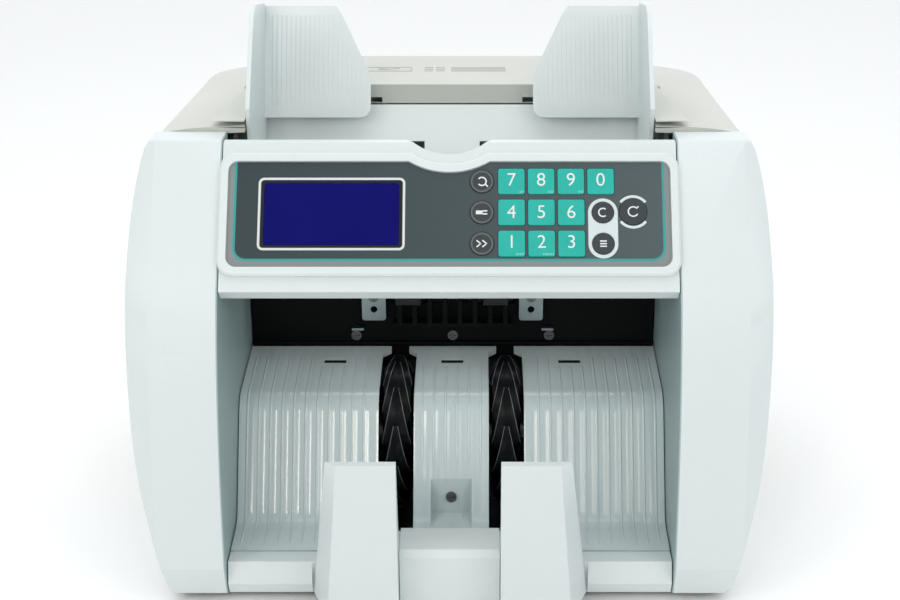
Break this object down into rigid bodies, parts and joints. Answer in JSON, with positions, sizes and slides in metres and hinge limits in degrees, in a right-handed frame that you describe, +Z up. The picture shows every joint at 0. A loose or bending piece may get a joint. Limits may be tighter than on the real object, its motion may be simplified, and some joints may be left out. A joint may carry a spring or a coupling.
{
  "type": "banknote counting machine",
  "caption": "Bench-top banknote counter: sloping keypad and display, friction-feed hopper with sliding guides, stacker pocket with impellers and front stoppers.",
  "frame": {"origin": "middle of the footprint, on the surface the feet stand on", "axes": "+X to the operator's right, front faces -Y, +Z up"},
  "size_m": [0.289, 0.2499, 0.253],
  "materials": {
    "body_plastic": "cool white fine-textured moulding",
    "cover_plastic": "warm white fine-textured moulding",
    "pocket_plastic": "smooth ribbed moulding",
    "overlay_film": "printed dark grey film",
    "display_glass": "blue display window",
    "teal_key": "teal key with a white digit",
    "dark_key": "dark round key with a pale ring",
    "black_plastic": "glossy black moulding",
    "rubber": "black rubber",
    "steel": "bright steel",
    "screw_steel": "plated",
    "board": "green circuit board",
    "motor_metal": "grey"
  },
  "bodies": {
    "chassis": {"back_wall": "black_plastic", "base_plate": "motor_metal", "display_frame": "body_plastic", "drive_belt": "rubber", "front_bezel": "body_plastic", "front_sill": "body_plastic", "hopper_tray": "body_plastic", "keypad_board": "board", "keypad_mat": "rubber", "lcd_module": "board", "lcd_window": "display_glass", "left_chassis_plate": "steel", "left_side_cover": "body_plastic", "left_stopper": "body_plastic", "machine_screws": "screw_steel", "main_board": "board", "main_motor": "motor_metal", "overlay": "overlay_film", "pickup_belt": "rubber", "power_board": "board", "power_inlet": "black_plastic", "rear_cover": "cover_plastic", "retard_rollers": "rubber", "right_chassis_plate": "steel", "right_side_cover": "body_plastic", "right_stopper": "body_plastic", "rubber_feet": "rubber", "sensor_brackets": "steel", "stacker_plate": "pocket_plastic"},
    "left_guide_body": {"left_guide": "body_plastic"},
    "right_guide_body": {"right_guide": "body_plastic"},
    "pinion": {"guide_pinion": "black_plastic"},
    "motor_rotor": {"motor_pulley": "steel"},
    "feed": {"feed_shaft": "steel", "feed_rollers": "rubber", "feed_pulleys": "black_plastic"},
    "pickup": {"pickup_shaft": "steel", "pickup_rollers": "rubber"},
    "stacker": {"stacker_shaft": "steel", "left_impeller": "black_plastic", "right_impeller": "black_plastic"},
    "door": {"rear_door": "cover_plastic"},
    "rocker": {"power_rocker": "black_plastic"},
    "knob": {"gap_knob": "black_plastic"},
    "key_0_body": {"key_0": "teal_key"},
    "key_1_body": {"key_1": "teal_key"},
    "key_2_body": {"key_2": "teal_key"},
    "key_3_body": {"key_3": "teal_key"},
    "key_4_body": {"key_4": "teal_key"},
    "key_5_body": {"key_5": "teal_key"},
    "key_6_body": {"key_6": "teal_key"},
    "key_7_body": {"key_7": "teal_key"},
    "key_8_body": {"key_8": "teal_key"},
    "key_9_body": {"key_9": "teal_key"},
    "key_detect_body": {"key_detect": "dark_key"},
    "key_double_body": {"key_double": "dark_key"},
    "key_speed_body": {"key_speed": "dark_key"},
    "key_clear_body": {"key_clear": "dark_key"},
    "key_batch_body": {"key_batch": "dark_key"},
    "key_restart_body": {"key_restart": "dark_key"}
  },
  "joints": [
    {"name": "left_guide_slide", "type": "slide", "parent": "chassis", "child": "left_guide_body", "axis": [1, 0, 0], "range_m": [0, 0.028]},
    {"name": "right_guide_slide", "type": "slide", "parent": "chassis", "child": "right_guide_body", "axis": [-1, 0, 0], "range_m": [0, 0.028]},
    {"name": "guide_pinion_turn", "type": "hinge", "parent": "chassis", "child": "pinion", "pos_m": [0, 0.064, 0.192], "axis": [0, 0, 1], "range_deg": [-5, 206]},
    {"name": "motor_spin", "type": "hinge", "parent": "chassis", "child": "motor_rotor", "pos_m": [0, 0.072, 0.06], "axis": [1, 0, 0], "continuous": true},
    {"name": "feed_spin", "type": "hinge", "parent": "chassis", "child": "feed", "pos_m": [0, 0.024, 0.118], "axis": [1, 0, 0], "continuous": true},
    {"name": "pickup_spin", "type": "hinge", "parent": "chassis", "child": "pickup", "pos_m": [0, 0.028, 0.16], "axis": [1, 0, 0], "continuous": true},
    {"name": "stacker_spin", "type": "hinge", "parent": "chassis", "child": "stacker", "pos_m": [0, -0.022, 0.046], "axis": [1, 0, 0], "continuous": true},
    {"name": "rear_door_hinge", "type": "hinge", "parent": "chassis", "child": "door", "pos_m": [0, 0.1165, 0.064], "axis": [-1, 0, 0], "range_deg": [0, 95]},
    {"name": "power_rocker_tilt", "type": "hinge", "parent": "chassis", "child": "rocker", "pos_m": [-0.04, 0.118, 0.036], "axis": [-1, 0, 0], "range_deg": [0, 16]},
    {"name": "gap_knob_turn", "type": "hinge", "parent": "chassis", "child": "knob", "pos_m": [0.104, 0.118, 0.16], "axis": [0, 1, 0], "range_deg": [-150, 150]},
    {"name": "key_0_press", "type": "slide", "parent": "chassis", "child": "key_0_body", "axis": [0, 0.8192, -0.5736], "range_m": [0, 0.0008], "stiffness_N_per_m": 300, "springref_m": -0.0005},
    {"name": "key_1_press", "type": "slide", "parent": "chassis", "child": "key_1_body", "axis": [0, 0.8192, -0.5736], "range_m": [0, 0.0008], "stiffness_N_per_m": 300, "springref_m": -0.0005},
    {"name": "key_2_press", "type": "slide", "parent": "chassis", "child": "key_2_body", "axis": [0, 0.8192, -0.5736], "range_m": [0, 0.0008], "stiffness_N_per_m": 300, "springref_m": -0.0005},
    {"name": "key_3_press", "type": "slide", "parent": "chassis", "child": "key_3_body", "axis": [0, 0.8192, -0.5736], "range_m": [0, 0.0008], "stiffness_N_per_m": 300, "springref_m": -0.0005},
    {"name": "key_4_press", "type": "slide", "parent": "chassis", "child": "key_4_body", "axis": [0, 0.8192, -0.5736], "range_m": [0, 0.0008], "stiffness_N_per_m": 300, "springref_m": -0.0005},
    {"name": "key_5_press", "type": "slide", "parent": "chassis", "child": "key_5_body", "axis": [0, 0.8192, -0.5736], "range_m": [0, 0.0008], "stiffness_N_per_m": 300, "springref_m": -0.0005},
    {"name": "key_6_press", "type": "slide", "parent": "chassis", "child": "key_6_body", "axis": [0, 0.8192, -0.5736], "range_m": [0, 0.0008], "stiffness_N_per_m": 300, "springref_m": -0.0005},
    {"name": "key_7_press", "type": "slide", "parent": "chassis", "child": "key_7_body", "axis": [0, 0.8192, -0.5736], "range_m": [0, 0.0008], "stiffness_N_per_m": 300, "springref_m": -0.0005},
    {"name": "key_8_press", "type": "slide", "parent": "chassis", "child": "key_8_body", "axis": [0, 0.8192, -0.5736], "range_m": [0, 0.0008], "stiffness_N_per_m": 300, "springref_m": -0.0005},
    {"name": "key_9_press", "type": "slide", "parent": "chassis", "child": "key_9_body", "axis": [0, 0.8192, -0.5736], "range_m": [0, 0.0008], "stiffness_N_per_m": 300, "springref_m": -0.0005},
    {"name": "key_detect_press", "type": "slide", "parent": "chassis", "child": "key_detect_body", "axis": [0, 0.8192, -0.5736], "range_m": [0, 0.0008], "stiffness_N_per_m": 300, "springref_m": -0.0005},
    {"name": "key_double_press", "type": "slide", "parent": "chassis", "child": "key_double_body", "axis": [0, 0.8192, -0.5736], "range_m": [0, 0.0008], "stiffness_N_per_m": 300, "springref_m": -0.0005},
    {"name": "key_speed_press", "type": "slide", "parent": "chassis", "child": "key_speed_body", "axis": [0, 0.8192, -0.5736], "range_m": [0, 0.0008], "stiffness_N_per_m": 300, "springref_m": -0.0005},
    {"name": "key_clear_press", "type": "slide", "parent": "chassis", "child": "key_clear_body", "axis": [0, 0.8192, -0.5736], "range_m": [0, 0.0008], "stiffness_N_per_m": 300, "springref_m": -0.0005},
    {"name": "key_batch_press", "type": "slide", "parent": "chassis", "child": "key_batch_body", "axis": [0, 0.8192, -0.5736], "range_m": [0, 0.0008], "stiffness_N_per_m": 300, "springref_m": -0.0005},
    {"name": "key_restart_press", "type": "slide", "parent": "chassis", "child": "key_restart_body", "axis": [0, 0.8192, -0.5736], "range_m": [0, 0.0008], "stiffness_N_per_m": 300, "springref_m": -0.0005}
  ],
  "couplings": [
    {"joint": "right_guide_slide", "follows": "left_guide_slide", "ratio": 1},
    {"joint": "guide_pinion_turn", "follows": "left_guide_slide", "rad_per_m": 125},
    {"joint": "feed_spin", "follows": "motor_spin", "ratio": 0.64286},
    {"joint": "pickup_spin", "follows": "motor_spin", "ratio": 0.64286},
    {"joint": "stacker_spin", "follows": "motor_spin", "ratio": 0.64286}
  ]
}
